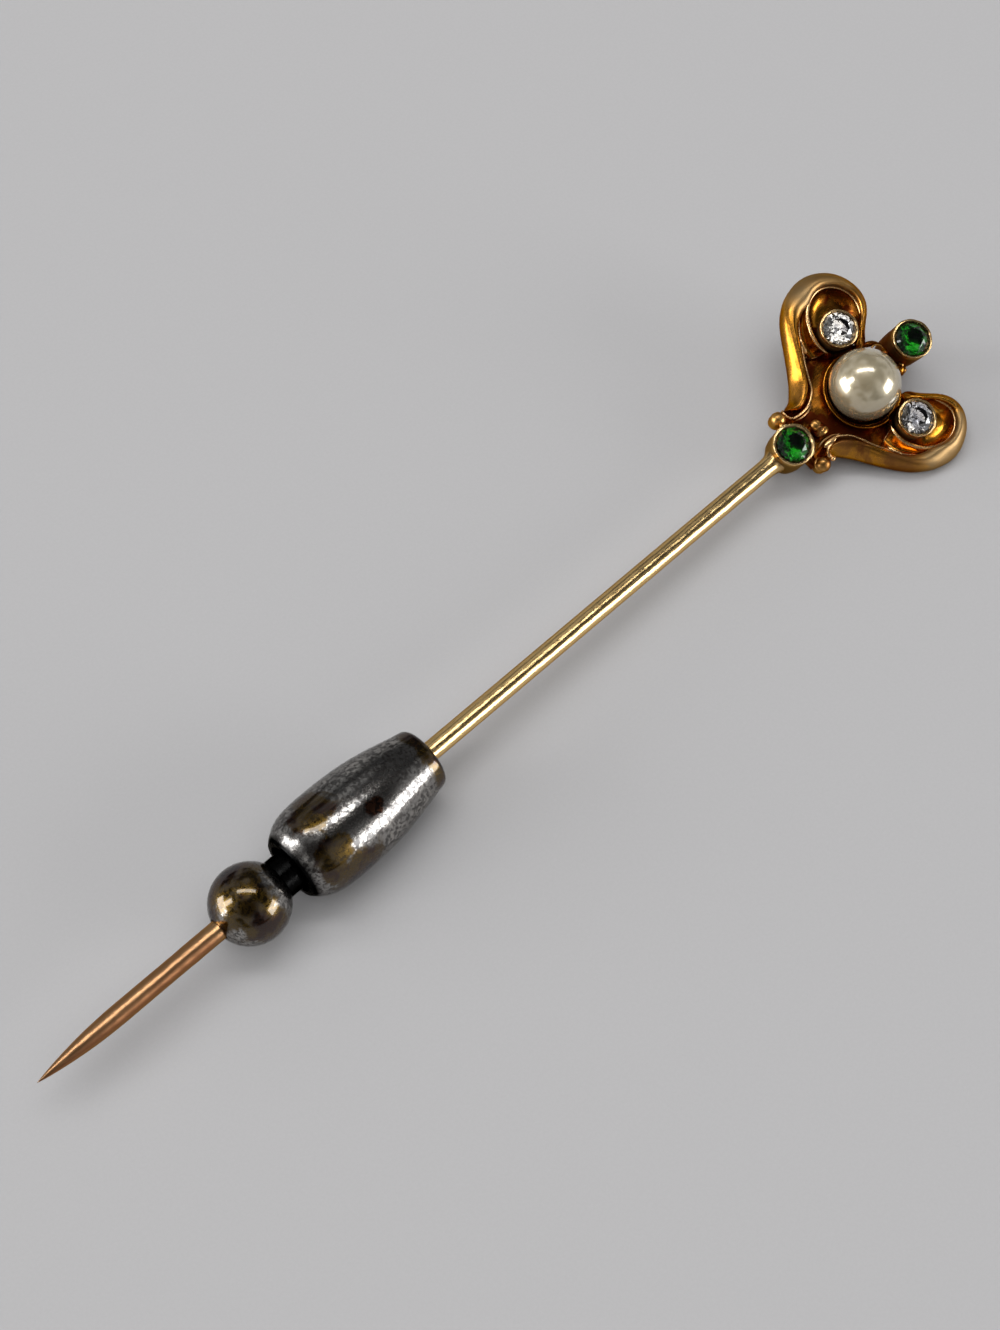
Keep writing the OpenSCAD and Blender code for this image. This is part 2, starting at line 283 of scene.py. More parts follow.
def lean(shells):
    """The lobes were bent by hand, and both stand a little to the left: y grows by LEAN in a soft
    step from where its size is LEAN_FROM."""
    def moved(v):
        w = np.clip((np.abs(v[:, 1:2]) - LEAN_FROM) / LEAN_OVER, 0, 1)
        return v + LEAN * w * w * (3 - 2 * w) * [0, 1, 0, 0, 0]
    return [(moved(v), q, t) for v, q, t in shells]

# %% [markdown]
# ## Wear as node groups
# Old gold and plated brass share the same wear: fine scratches, a shallow unevenness that breaks up
# reflections, and patches of tarnish. Each is built once as a shader node group, and each material
# uses it with its own numbers. A group hands out only masks and normals, and the Principled shader
# stays in the material. Object coordinates are in metres here, so a grain of a tenth of a
# millimetre needs a scale of about ten thousand.

# %% Node helpers
def new_group(name, inputs, outputs):
    """An empty shader group with float inputs and their defaults, and outputs with their types.
    Returns it, the sockets that bring its inputs, and the node that takes its outputs."""
    group = bpy.data.node_groups.new(name, "ShaderNodeTree")
    for label, value in inputs.items():
        socket = group.interface.new_socket(label, in_out="INPUT", socket_type="NodeSocketFloat")
        socket.default_value = value
    for label, kind in outputs.items():
        group.interface.new_socket(label, in_out="OUTPUT", socket_type=kind)
    brought = list(group.nodes.new("NodeGroupInput").outputs)[:len(inputs)]
    return group, brought, group.nodes.new("NodeGroupOutput")


def feed(tree, node, values):
    """Feeds a node's inputs, by name or number: a socket is linked, and any other value is set."""
    for label, value in values.items():
        if isinstance(value, bpy.types.NodeSocket):
            tree.links.new(value, node.inputs[label])
        else:
            node.inputs[label].default_value = value
    return node


def add(tree, kind, values=None, **settings):
    """A node of a kind, with its settings, and with its inputs fed."""
    node = tree.nodes.new(kind)
    for key, value in settings.items():
        setattr(node, key, value)
    return feed(tree, node, values or {})


def maths(tree, operation, a, b=0.0, clamp=False):
    """One Math node on two values, each a socket or a number; returns its output."""
    node = add(tree, "ShaderNodeMath", {0: a, 1: b}, operation=operation, use_clamp=clamp)
    return node.outputs[0]


def plus(tree, a, b, times, clamp=False):
    """a + b x times."""
    return maths(tree, "ADD", a, maths(tree, "MULTIPLY", b, times), clamp)


def vectors(tree, operation, a, b=(0, 0, 0)):
    """One Vector Math node on two vectors; returns its number if it gives one, or its vector."""
    node = add(tree, "ShaderNodeVectorMath", {0: a, 1: b}, operation=operation)
    return node.outputs["Value" if operation in ("DOT_PRODUCT", "LENGTH") else "Vector"]


def ramp(tree, value, low, high, out_low=0.0, out_high=1.0):
    """Map Range: value from low..high to out_low..out_high, held at both ends, with a soft S."""
    return add(tree, "ShaderNodeMapRange",
               {"Value": value, "From Min": low, "From Max": high,
                "To Min": out_low, "To Max": out_high}, interpolation_type="SMOOTHSTEP").outputs[0]


def mix(tree, factor, a, b):
    """Mix of two colours by a factor. The Mix node keeps its colours at inputs 6 and 7."""
    return add(tree, "ShaderNodeMix", {0: factor, 6: a, 7: b}, data_type="RGBA").outputs[2]


def noise(tree, vector, scale, detail=3.0, roughness=0.5, distortion=0.0):
    """Noise value on a vector, with its scale as a socket or a number."""
    return add(tree, "ShaderNodeTexNoise",
               {"Vector": vector, "Scale": scale, "Detail": detail, "Roughness": roughness,
                "Distortion": distortion}).outputs["Fac"]


def object_place(tree):
    """Object coordinates, in metres."""
    return add(tree, "ShaderNodeTexCoord").outputs["Object"]


# %% Group: patches
# A cloudy mask. Coverage moves the threshold of a noise, and softness is the width of its edge.
group, (scale, coverage, softness, detail), result = new_group(
    "patches", {"Scale": 600.0, "Coverage": 0.5, "Softness": 0.06, "Detail": 6.0},
    {"Mask": "NodeSocketFloat"})
cloud = noise(group, object_place(group), scale, detail, 0.62, 0.4)
middle = maths(group, "SUBTRACT", 1.0, coverage)
low, high = (maths(group, operation, middle, softness) for operation in ("SUBTRACT", "ADD"))
feed(group, result, {"Mask": ramp(group, cloud, low, high)})
PATCHES = group

# %% Group: worked metal
# Three bumps in one: the slow unevenness of hand-worked metal, a finer one that polishing has left,
# and fine scratches, which are a noise squeezed along one direction. The mask shows the scratches.
FINER, FINER_SHARE = 3.1, 0.18   # how much finer the second wave is, and its share of the first
BUMP_DEEP = 0.0002               # metres of depth for a full step of the height
group, (wave_scale, wave, scratch_scale, scratch, stretch), result = new_group(
    "worked_metal",
    {"Wave Scale": 800.0, "Wave": 0.3, "Scratch Scale": 9000.0, "Scratch": 0.1, "Stretch": 0.08},
    {"Normal": "NodeSocketVector", "Scratches": "NodeSocketFloat"})
place = object_place(group)
squeeze = add(group, "ShaderNodeCombineXYZ", {0: stretch, 1: 1.0, 2: 1.0}).outputs[0]
lines = noise(group, vectors(group, "MULTIPLY", place, squeeze), scratch_scale, 4.0, 0.7)
waves = noise(group, place, wave_scale, 1.0, 0.4, 0.3)
finer = noise(group, place, maths(group, "MULTIPLY", wave_scale, FINER), 1.0, 0.4)
waves = plus(group, waves, finer, FINER_SHARE)
deep = plus(group, maths(group, "MULTIPLY", waves, wave), lines, scratch)
bump = add(group, "ShaderNodeBump", {"Height": deep, "Strength": 1.0, "Distance": BUMP_DEEP})
feed(group, result, {"Normal": bump.outputs["Normal"], "Scratches": ramp(group, lines, 0.52, 0.7)})
WORKED = group

# %% [markdown]
# ## Gold
# Gold shows its surroundings through a yellow filter, and where gold faces gold the filter acts
# twice and turns orange. So the base colour is kept fairly light and Metallic is 1. The shapes give
# most of the deep tones, and colour painted into the recesses the rest: tarnished gold, and painted
# shade where the recesses lie in shadow. The lobes are duller and more olive than the dishes, and
# the stem is redder past the keeper.

# %% Gold materials
def principled(name):
    """A new material with its node tree and its Principled shader."""
    material = bpy.data.materials.new(name)
    material.use_nodes = True
    return material, material.node_tree, material.node_tree.nodes["Principled BSDF"]


def use_group(tree, group, values):
    """Places a node group with its own numbers and returns its outputs."""
    return add(tree, "ShaderNodeGroup", values, node_tree=group).outputs


def attribute(tree, name):
    """The value of one of the mesh's own numbers at this point."""
    return add(tree, "ShaderNodeAttribute", attribute_name=name).outputs["Fac"]


EDGE_TINT = (0.5, 0.32, 0.15, 1)   # what gold shows at a grazing angle
DEEP = (0.1, 0.018, 0.004, 1)      # tarnished gold and painted shade in a recess
PATCH_SHARE, SCRATCH_ROUGH, RECESS_ROUGH = 0.65, 0.1, 0.08


def gold(name, bright, dull, shine, haze, patch, patch_scale, wave, scratch, stretch=0.15,
         wave_scale=800.0):
    """Gold whose colour and roughness go from bright to dull where the patches are, and whose
    colour turns deep where the mesh's recess is, a little more so where the patches are too. That
    deep colour is tarnished gold and painted shade."""
    material, tree, shader = principled(name)
    worn = use_group(tree, PATCHES, {
        "Scale": patch_scale, "Coverage": patch, "Softness": 0.12})["Mask"]
    worked = use_group(tree, WORKED, {
        "Wave Scale": wave_scale, "Wave": wave, "Scratch": scratch, "Stretch": stretch})
    mask = plus(tree, attribute(tree, "dull"), worn, PATCH_SHARE, clamp=True)
    recess = maths(tree, "MULTIPLY", attribute(tree, "recess"), ramp(tree, worn, 0, 1, 0.7, 1.3),
                   clamp=True)
    rough = plus(tree, ramp(tree, mask, 0, 1, shine, haze), worked["Scratches"], SCRATCH_ROUGH)
    feed(tree, shader, {
        "Base Color": mix(tree, recess, mix(tree, mask, (*bright, 1), (*dull, 1)), DEEP),
        "Roughness": plus(tree, rough, recess, RECESS_ROUGH), "Normal": worked["Normal"],
        "Metallic": 1.0, "Specular Tint": EDGE_TINT})
    return material


# bright and dull colour, roughness of each, coverage and scale of the patches, wave, scratches and
# how far they are stretched, scale of the wave
GOLDS = {
    "polished": ((0.72, 0.32, 0.035), (0.44, 0.17, 0.02), 0.18, 0.34, 0.45, 500, 0.35, 0.008),
    "scroll": ((0.66, 0.3, 0.033), (0.37, 0.24, 0.11), 0.2, 0.46, 0.45, 350, 0.4, 0.018, 0.15,
               480),
    "lip": ((0.82, 0.52, 0.24), (0.62, 0.34, 0.13), 0.26, 0.4, 0.4, 900, 0.2, 0.01),
    "bead": ((0.6, 0.33, 0.1), (0.34, 0.17, 0.045), 0.28, 0.44, 0.5, 900, 0.5, 0.01),
    "bezel": ((0.8, 0.55, 0.26), (0.27, 0.175, 0.07), 0.2, 0.42, 0.3, 700, 0.4, 0.015),
    "stem": ((0.86, 0.6, 0.27), (0.36, 0.165, 0.085), 0.2, 0.3, 0.3, 450, 0.2, 0.045, 0.05)}
POLISHED, SCROLL_GOLD, LIP_GOLD, BEAD_GOLD, BEZEL_GOLD, STEM_GOLD = (
    gold(name + "_gold", *row) for name, row in GOLDS.items())

# %% [markdown]
# ## The stem
# The stem is drawn wire that was ground to a point, so one outline spun round the stem's own axis
# gives all of it. The point is not a cone: its sides are full, like a sine curve. At the head the
# outline flares a little, where solder ran up against the collet.

# %% Stem
STEM_R, FREE_R = 0.525, 0.515
STEM_L, POINT_L, FREE_AT, TAPER_L = 50.45, 5.0, 41.25, 0.4
SOLDER_R, SOLDER_RUN = 0.16, 0.22
DIRT, DIRT_RUN = 0.8, 0.5                  # at the joint, and how far it runs in mm
WORN, WORN_FROM, WORN_OVER = 0.8, 37, 3    # the worn end, where it begins and over what length
# painted shade along two sides: angle and width in degrees
AWAY, BELOW = (78, 30), (322, 30)


def stem_outline():
    """Radius against distance: flared by a falling exponential, straight, then a sine's quarter.
    The joint is dirty, and the end past the keeper is dull and coppery, from years of pinning."""
    near = np.linspace(-0.35, 2.0, 24)
    flare = STEM_R + SOLDER_R * np.exp(-np.maximum(near, 0) / SOLDER_RUN)
    straight = np.linspace(2.5, FREE_AT, 40)
    free = np.linspace(FREE_AT + TAPER_L, STEM_L - POINT_L, 6)
    left = np.linspace(1, 0, 41)[1:]
    point = FREE_R * np.sin(np.pi / 2 * left ** 0.85)
    radius = np.concatenate([[0], flare, np.full(40, STEM_R), np.full(6, FREE_R), point])
    along = np.concatenate([[-0.35], near, straight, free, STEM_L - POINT_L * left])
    dirt_and_shade = DIRT * np.clip(1 - along / DIRT_RUN, 0, 1)
    dull = WORN * np.clip((along - WORN_FROM) / WORN_OVER, 0, 1)
    return np.stack([radius, along, dirt_and_shade, dull], -1)


def stem_grid():
    """The spun outline, with painted shade along two sides: a little on the side that lies away, and
    more past the keeper on the side that lies down. Each is a Gaussian of the angle."""
    grid = spin(stem_outline(), 64)
    angle = np.arange(64) * 360 / 64
    away, below = (np.exp(-(((angle - a + 180) % 360 - 180) / w) ** 2) for a, w in (AWAY, BELOW))
    worn = grid[..., 4] / WORN
    side_shade = 0.45 * away * (1 - worn) + 0.95 * below * worn
    grid[..., 3] = np.maximum(grid[..., 3], side_shade)
    return grid


gold_piece("stem", [tube(stem_grid())], STEM_GOLD, STEM)

# %% [markdown]
# ## Scrolls
# Each scroll is one band of pressed gold: it leaves the base collet at a small toe, swings out as
# an arm, turns round the lobe and dies beside the diamond. A table gives its two edges in the
# head's plane and the heights of its crown and inner edge. Between the edges it is a dome, whose
# crown lies over to the inner edge at the toe and to the outer edge on the upper arm. A sharp lip,
# a piece of its own, runs round the toe and along the arm. Every cloth that touches it polishes
# it, so it is the brightest line of all.

# %% Scroll bands
# outer edge along, across; inner edge along, across; height of crown; height of inner edge; dull
BAND = [
    [2.34, 1.74, 2.42, 1.62, 0.34, 0.3, 0], [2.62, 1.84, 2.66, 1.44, 0.52, 0.36, 0],
    [3, 1.99, 3.02, 1.27, 0.64, 0.38, 0.1], [3.4, 2.38, 3.58, 1.42, 0.7, 0.4, 0.1],
    [3.8, 2.87, 4.14, 1.84, 0.72, 0.42, 0], [4.25, 3.5, 4.56, 2.45, 0.74, 0.42, 0],
    [4.8, 4.28, 5.02, 3.15, 0.76, 0.42, 0], [5.35, 5.02, 5.5, 3.85, 0.78, 0.42, 0],
    [5.9, 5.6, 6.05, 4.55, 0.8, 0.42, 0.1], [6.6, 6.08, 6.74, 5, 0.82, 0.42, 0.7],
    [7.3, 6.34, 7.38, 5.12, 0.82, 0.42, 1], [8.05, 6.45, 8, 5.34, 0.82, 0.42, 0.9],
    [8.75, 6.34, 8.6, 5.34, 0.82, 0.42, 0.8], [9.4, 6.03, 9.08, 5.14, 0.8, 0.42, 0.8],
    [9.9, 5.62, 9.4, 4.86, 0.78, 0.42, 0.7], [10.25, 5.12, 9.62, 4.5, 0.76, 0.42, 0.6],
    [10.45, 4.55, 9.74, 4.12, 0.74, 0.42, 0.2], [10.48, 3.98, 9.7, 3.72, 0.7, 0.42, 0.2],
    [10.32, 3.44, 9.52, 3.34, 0.66, 0.42, 0.2], [9.98, 2.98, 9.3, 3.04, 0.6, 0.4, 0.1],
    [9.52, 2.58, 9.02, 2.8, 0.54, 0.36, 0], [9.1, 2.2, 8.7, 2.55, 0.5, 0.34, 0],
    [8.8, 1.85, 8.4, 2.25, 0.36, 0.24, 0], [8.58, 1.7, 8.22, 2.06, 0.2, 0.1, 0],
    [8.34, 1.68, 8.12, 1.94, 0.03, -0.05, 0], [8.12, 1.8, 8.06, 1.88, -0.12, -0.18, 0]]
BACK_Z = -0.4
# by place along the head: where the crown lies, as a power that is below 1 towards the inner edge,
# and how dark the bright gold is painted: tarnished, with painted shade that grows towards the toe
SKEW_AT, SKEW = [2.3, 3.8, 5.0, 6.2, 7.8], [0.5, 0.55, 1.0, 1.5, 0.75]
TARNISH_AND_SHADE_AT, TARNISH_AND_SHADE = [2.6, 4.2, 6.0], [0.78, 0.62, 0.5]
# the sharp lip: round the toe, then along the arm's inner edge to the dish
LIP = [
    [2.28, 1.84, 0.22], [2.17, 1.66, 0.26], [2.2, 1.36, 0.3], [2.36, 1.14, 0.33],
    [2.62, 1.07, 0.36], [2.99, 1.05, 0.38], [3.44, 1.11, 0.4], [3.87, 1.33, 0.42],
    [4.22, 1.62, 0.43], [4.46, 2.02, 0.44], [4.64, 2.4, 0.44], [4.84, 2.78, 0.44],
    [5.06, 3.14, 0.44], [5.28, 3.48, 0.44], [5.5, 3.82, 0.44], [5.8, 4.26, 0.44],
    [6.22, 4.72, 0.44], [6.66, 5.08, 0.44], [7.1, 5.24, 0.44]]
TOE_LINE = [[2.46, 0.96, 0.12], [2.9, 0.86, 0.2], [3.42, 0.92, 0.2], [3.92, 1.14, 0.14]]
HOOK = [
    [5.84, 4.3, 0.42], [5.66, 4.04, 0.42], [5.54, 3.78, 0.4], [5.5, 3.52, 0.34], [5.5, 3.28, 0.22]]
LIP_R, TOE_LINE_R, HOOK_R = 0.065, 0.05, 0.12


def band_section():
    """Share across, weight of crown, of back and of recess, round a section. The share goes with
    the cosine, and is still to be raised to a row's power."""
    over = np.linspace(0, np.pi, 29)
    crown = np.where(over < np.pi / 2, np.sin(over) ** 0.85, np.sin(over) ** 1.25)
    above = np.stack([(1 - np.cos(over)) / 2, crown, 0 * over, 0 * over], -1)
    # under the inner edge the wall drops to the back, and it is painted dark as shade
    under = [[0.98, 0, 0.45, 1], [0.95, 0, 0.85, 1], [0.84, 0, 1, 0.6], [0.5, 0, 1, 0],
             [0.16, 0, 1, 0], [0.05, 0, 0.8, 0], [0.01, 0, 0.4, 0]]
    return np.vstack([above, under]).T[:, None]


def scroll_band():
    """Each ring goes from the outer to the inner edge by share. Its height is the edge's plus the
    crown's bulge, or the back's. Where it is not dull the gold is darkened by its place: it is
    tarnished, with painted shade that grows towards the toe."""
    rows = smooth_rows(BAND, 8)
    outer, inner = rows[:, None, 0:2], rows[:, None, 2:4]
    along, crown, edge, dull = (rows[:, k, None] for k in (0, 4, 5, 6))
    share, bulge, back, recess = band_section()
    share = np.where(back > 0, share, share ** np.interp(along, SKEW_AT, SKEW))
    flat = outer + (inner - outer) * share[..., None]
    height = (edge * share + (crown - edge / 2) * bulge) * (1 - back) + BACK_Z * back
    tarnish_and_shade = np.interp(along, TARNISH_AND_SHADE_AT, TARNISH_AND_SHADE) * (1 - np.minimum(1, 1.6 * dull))
    recess = np.maximum(recess, tarnish_and_shade)
    return tube(grid_of(flat, height, recess, dull * (1 - recess)))


def toe_plate():
    """A thin plate under the toe: it runs from the lip to the band's middle line, so the groove
    between them has a floor. That floor is painted dark, as shade."""
    lip = smooth_rows(LIP[:11], 5)[:, None]
    middle = smooth_rows([np.add(row[0:2], row[2:4]) / 2 for row in BAND[:6]], 12)
    middle = middle[np.linspace(0, len(middle) - 1, len(lip)).astype(int), None]
    edge = lip[..., :2]
    loop = [(edge, lip[..., 2:] - 0.03, 0), (edge + 0.35 * (middle - edge), 0.1, 1),
            (middle, 0.05, 1), (middle, BACK_Z, 0), (edge, BACK_Z + 0.1, 0)]
    return tube(np.concatenate([grid_of(*point) for point in loop], 1))


# the toe line, low under the lip, is painted a little dark as shade
fine_lines = [strand(TOE_LINE, TOE_LINE_R, 0.2, 0.4), strand(HOOK, HOOK_R, 0.3)]
# the right toe is folded flat and ends in a small curl with a bead
VOLUTE = [
    [3.2, 1.5, 0.46], [2.96, 1.32, 0.46], [2.68, 1.4, 0.44], [2.5, 1.62, 0.42], [2.54, 1.88, 0.42]]
volute = [ball((3.04, 1.16, 0.46), (0.46, 0.17, 0.09)), ball((2.54, 1.92, 0.44), 0.15),
          strand(VOLUTE, 0.12, 0.2)]
both_sides("scroll", [scroll_band(), toe_plate()], SCROLL_GOLD)
both_sides("lip", fine_lines, LIP_GOLD, [strand(LIP, LIP_R, 0.06)],
           [*volute, strand(LIP[5:], LIP_R, 0.06)])

# %% [markdown]
# ## Dishes
# Inside each lobe lies a deep polished dish with a bright rim, and the diamond stands in it. The
# rim's line was drawn and is closed under the collet. The dish is a polar grid from that line to
# its middle, and a high power gives it a steep wall and a flat floor.

# %% Dishes
# the rim's visible run, and the way back under the diamond's collet
RIM = [
    [6.38, 2.62], [6.3, 2.95], [6.28, 3.34], [6.36, 3.8], [6.58, 4.28], [6.9, 4.75], [7.38, 5.12],
    [7.82, 5.32], [8.37, 5.4], [8.9, 5.26], [9.3, 4.98], [9.58, 4.62], [9.72, 4.2], [9.7, 3.75],
    [9.52, 3.28], [9.3, 2.95]]
RIM_BACK = [[8.86, 2.55], [8.3, 2.2], [7.6, 2.04], [6.86, 2.16]]
RIM_Z, DISH_Z, RIM_R = 0.42, -0.34, 0.07
DISH_POWER, FAR_OVER = 5.0, 1.0


def dish(far_from, near_shade):
    """Share s from 1 at the rim to 0 in the middle; height floor + (rim - floor) s to a power.
    Painted shade darkens the sunk part: in full past a place along the head, and by a share nearer."""
    oval = smooth_rows(RIM + RIM_BACK, 6, closed=True)
    middle = oval.mean(axis=0)
    s = np.linspace(0, 1, 40)[:, None, None] ** 0.6
    flat = middle + (oval - middle)[None] * s
    top = DISH_Z + (RIM_Z - DISH_Z) * s ** DISH_POWER
    far = np.clip((flat[..., :1] - far_from) / FAR_OVER, 0, 1)
    recess = sunk(top, RIM_Z - 0.05, 0.45) * (near_shade + (1 - near_shade) * far)
    wall, base = (grid_of(line[None], BACK_Z, 0.6) for line in (oval, middle + 0 * oval))
    return tube(np.concatenate([grid_of(flat, top, recess), wall, base]))


rim_path = smooth_rows(RIM, 6)
rim_path = np.column_stack([rim_path, np.full(len(rim_path), RIM_Z + 0.02)])
# the rim is thickest beside the arm, where the sheet was folded over: how much, where and how wide
FOLD, FOLD_AT, FOLD_WIDE = 0.9, 0.25, 0.18
share = np.linspace(0, 1, len(rim_path))
fold = 1 + FOLD * np.exp(-((share - FOLD_AT) / FOLD_WIDE) ** 2)
rim_r = tapered(RIM_R, len(rim_path), 0.08) * fold
both_sides("dish", [], POLISHED, [dish(8.1, 0.68)], [dish(9.9, 0.0)])
both_sides("rim", [wire(rim_path, rim_r)], LIP_GOLD)

# %% [markdown]
# ## Troughs
# Between the arm and the dish the metal sinks into a trough that opens towards the pearl's cup: a
# ruled surface between the arm's inner edge and the dish's rim that hangs down in the middle.

# %% Troughs
# arm side along, across; dish side along, across
TROUGH = [
    [7.6, 5.26, 7.62, 5.16], [7.1, 5.14, 7.18, 4.98], [6.7, 4.98, 6.92, 4.76],
    [6.24, 4.7, 6.7, 4.48], [5.9, 4.34, 6.5, 4.14], [5.62, 3.98, 6.36, 3.8],
    [5.44, 3.7, 6.29, 3.42], [5.34, 3.46, 6.29, 3.1], [5.28, 3.2, 6.36, 2.74]]
TROUGH_Z, TROUGH_SAG, TROUGH_BACK_Z = 0.4, 0.62, -0.38


def trough():
    """Across each row the surface hangs below both edges by a sine, and a flat back closes it. The
    last row is an open edge, and is returned as a path too."""
    rows = smooth_rows(TROUGH, 6)
    arm, edge = rows[:, None, 0:2], rows[:, None, 2:4]
    t = np.linspace(0, 1, 17)
    flat = arm + (edge - arm) * t[None, :, None]
    deep = np.linspace(0, 1, len(rows))[:, None] ** 0.6
    top = TROUGH_Z - TROUGH_SAG * deep * np.sin(np.pi * t)[None, :] ** 0.8
    top = np.maximum(top, TROUGH_BACK_Z + 0.04)
    # the deeper the face hangs, the darker it is painted, as shade; the back is painted dark in full
    face = grid_of(flat, top, sunk(top, 0.1, 0.6))
    rear = grid_of(flat, TROUGH_BACK_Z, 1)[:, ::-1]
    return tube(np.concatenate([face, rear], 1)), face[-1, :, :3]


hollow, open_edge = trough()
both_sides("trough", [hollow], POLISHED)
# the open edge is painted a little dark as well, as shade
both_sides("trough_edge", [wire(open_edge, 0.03, recess=0.3)], LIP_GOLD)

# %% [markdown]
# ## The web
# A thin plate closes the head's back between the two scrolls, and a tongue of it runs on under the
# pearl's cup. Hardly any light reaches it, and its front is painted dark as shade as well, so it is
# seen only as the dark ground behind everything else. It is a ruled surface: for each place along
# the head, a straight line across.

# %% Web
# along, half width, height of its front
WEB = [
    [1.8, 1.2, -0.22], [2.25, 1.5, -0.22], [2.65, 1.46, -0.22], [3.1, 1.54, -0.22],
    [3.62, 1.86, -0.22], [4.2, 2.52, -0.24], [4.92, 3.72, -0.28], [5.7, 4.6, -0.34],
    [6.65, 5.3, -0.39]]
TONGUE = [[6.3, 2.35, -0.34], [7.2, 2.35, -0.34], [8, 2.3, -0.34], [8.55, 1.7, -0.34]]


def web(table):
    """Front and back of the plate: y runs from one side to the other as a share of the width."""
    rows = smooth_rows(table, 5)
    across = rows[:, 1:2] * np.linspace(-1, 1, 25)
    face = grid_of(rows[:, :1], across, rows[:, 2:], 1)
    rear = grid_of(rows[:, :1], across, BACK_Z - 0.01, 0)[:, ::-1]
    return tube(np.concatenate([face, rear], 1))


gold_piece("web", [web(WEB), web(TONGUE)], POLISHED)

# %% [markdown]
# ## Collets
# A collet is a short tube that holds one stone. Its mouth is rubbed over the stone as a thin bright
# lip, and inside it narrows to a seat. One outline of radius and height, with its corners bent, is
# spun. A slight wave in the radius shows that it was closed by hand.

# %% Collets
SEAT_GAP, LIP_H, GIRDLE, PAVILION = 0.04, 0.12, 0.06, 0.8


def collet(centre, r, z, stone_r, foot, phase=0.0):
    """Outline: up the outside from the foot's rows, over the lip at radius r and height z, and down
    inside to the seat."""
    girdle_z = z - LIP_H - stone_r * GIRDLE
    hole_r = stone_r + SEAT_GAP
    floor_z = girdle_z - stone_r * PAVILION - 3 * SEAT_GAP
    wall = foot[-1][2]
    # the third number is the recess: under the stone, the inner wall and the seat are painted dark as shade
    mouth = [[r - 0.02, z - 0.5, 0.7 * wall], [r, z - 0.12, 0.2 * wall], [r - 0.02, z, 0],
             [r - 0.1, z, 0], [stone_r - 0.01, z - 0.09, 0.9], [stone_r - 0.03, z - 0.12, 1],
             [hole_r, girdle_z + stone_r * GIRDLE + SEAT_GAP, 1]]
    inside = [[hole_r, girdle_z - SEAT_GAP, 1], [stone_r / 5, floor_z, 1], [0, floor_z, 1]]
    outline = np.vstack([rounded(foot + mouth, 0.04), inside])
    dull = sunk(outline[:, 1], z - 0.16, 0.3)[:, None]
    return tube(spin(np.hstack([outline, dull]), 96, centre, 0.009, phase))


BASE_AT, TOP_AT, DIAMOND_AT = (1.05, 0.0), (10.25, 0.2), (7.56, 3.21)
GREEN_R, DIAMOND_R = 0.98, 0.94
TOP_FOOT_Z, TOP_FOOT_R, TOP_MOUTH_Z = -1.7, 1.0, 1.55
TOP_LEAN = (0.026, 0.072)   # how far the tube leans for each millimetre below its mouth
# the diamonds' feet, deep in their dishes, are painted dark as shade, and the top collet's tube is painted dark up
# to its lip
BASE_FOOT = [[0, -1.35, 0], [0.45, -1.33, 0], [0.85, -1.15, 0], [1.07, -0.8, 0], [1.13, -0.3, 0.1]]
DIAMOND_FOOT = [[0, -0.38, 1], [0.86, -0.38, 1], [0.92, -0.1, 0.9], [1, 0.3, 0.4]]
bend = np.radians(np.linspace(0, 90, 9))
TOP_FOOT = [[TOP_FOOT_R * np.sin(b), TOP_FOOT_Z - TOP_FOOT_R * np.cos(b), 1] for b in bend]
TOP_FOOT += [[1.08, -0.6, 1], [1.1, 0.4, 1]]

gold_piece("base_collet", [collet(BASE_AT, 1.17, 1.2, GREEN_R, BASE_FOOT)], BEZEL_GOLD)
top_collet = collet(TOP_AT, 1.13, TOP_MOUTH_Z, GREEN_R, TOP_FOOT, 1.3)
below = np.clip(TOP_MOUTH_Z - 0.5 - top_collet[0][:, 2:3], 0, None)
top_collet[0][:, :2] += below * TOP_LEAN
gold_piece("top_collet", [top_collet], BEZEL_GOLD)
diamond_setting = [collet(DIAMOND_AT, 1.1, 1.15, DIAMOND_R, DIAMOND_FOOT, 2.1)]
gold_piece("left_collet", diamond_setting, BEZEL_GOLD)
gold_piece("right_collet", flip(diamond_setting), BEZEL_GOLD)

# %% [markdown]
# ## The pearl's cup
# The pearl is glued into a shallow cup: a bright outer lip, then a flat, from which the wall drops
# to the seat. The flat, both walls and the seat are painted dark by their recess, as shade. Again it
# is one spun outline.

# %% Cup
PEARL_AT, PEARL_R = (6.57, 0.0, 1.0), 1.97
CUP_AT = (6.68, -0.09)   # the cup was soldered on a little to the right of the pearl's place
# radius, height and recess
CUP = [
    [0, -1.35, 0], [0.9, -1.33, 0], [1.45, -1.12, 0], [1.86, -0.8, 0.3], [2.1, -0.35, 0.9],
    [2.2, -0.05, 0.7], [2.235, 0.1, 0.1], [2.19, 0.16, 0], [2.12, 0.11, 0.5], [2.04, 0.05, 0.9],
    [1.985, 0.05, 0.9], [1.96, -0.04, 1], [1.72, -0.36, 1], [1.2, -0.62, 1], [0.8, -0.78, 1],
    [0.4, -0.97, 1], [0, -1.01, 1]]
gold_piece("pearl_cup", [tube(spin(rounded(CUP, 0.05), 128, CUP_AT))], POLISHED)

# %% [markdown]
# ## Beads and ties
# Small soldered beads tie the settings together. They are ellipsoids that bite into their
# neighbours, as solder lets them, with a bar below that carries the two side beads.

# %% Beads
SIDE_BEAD = (1.75, 1.6)
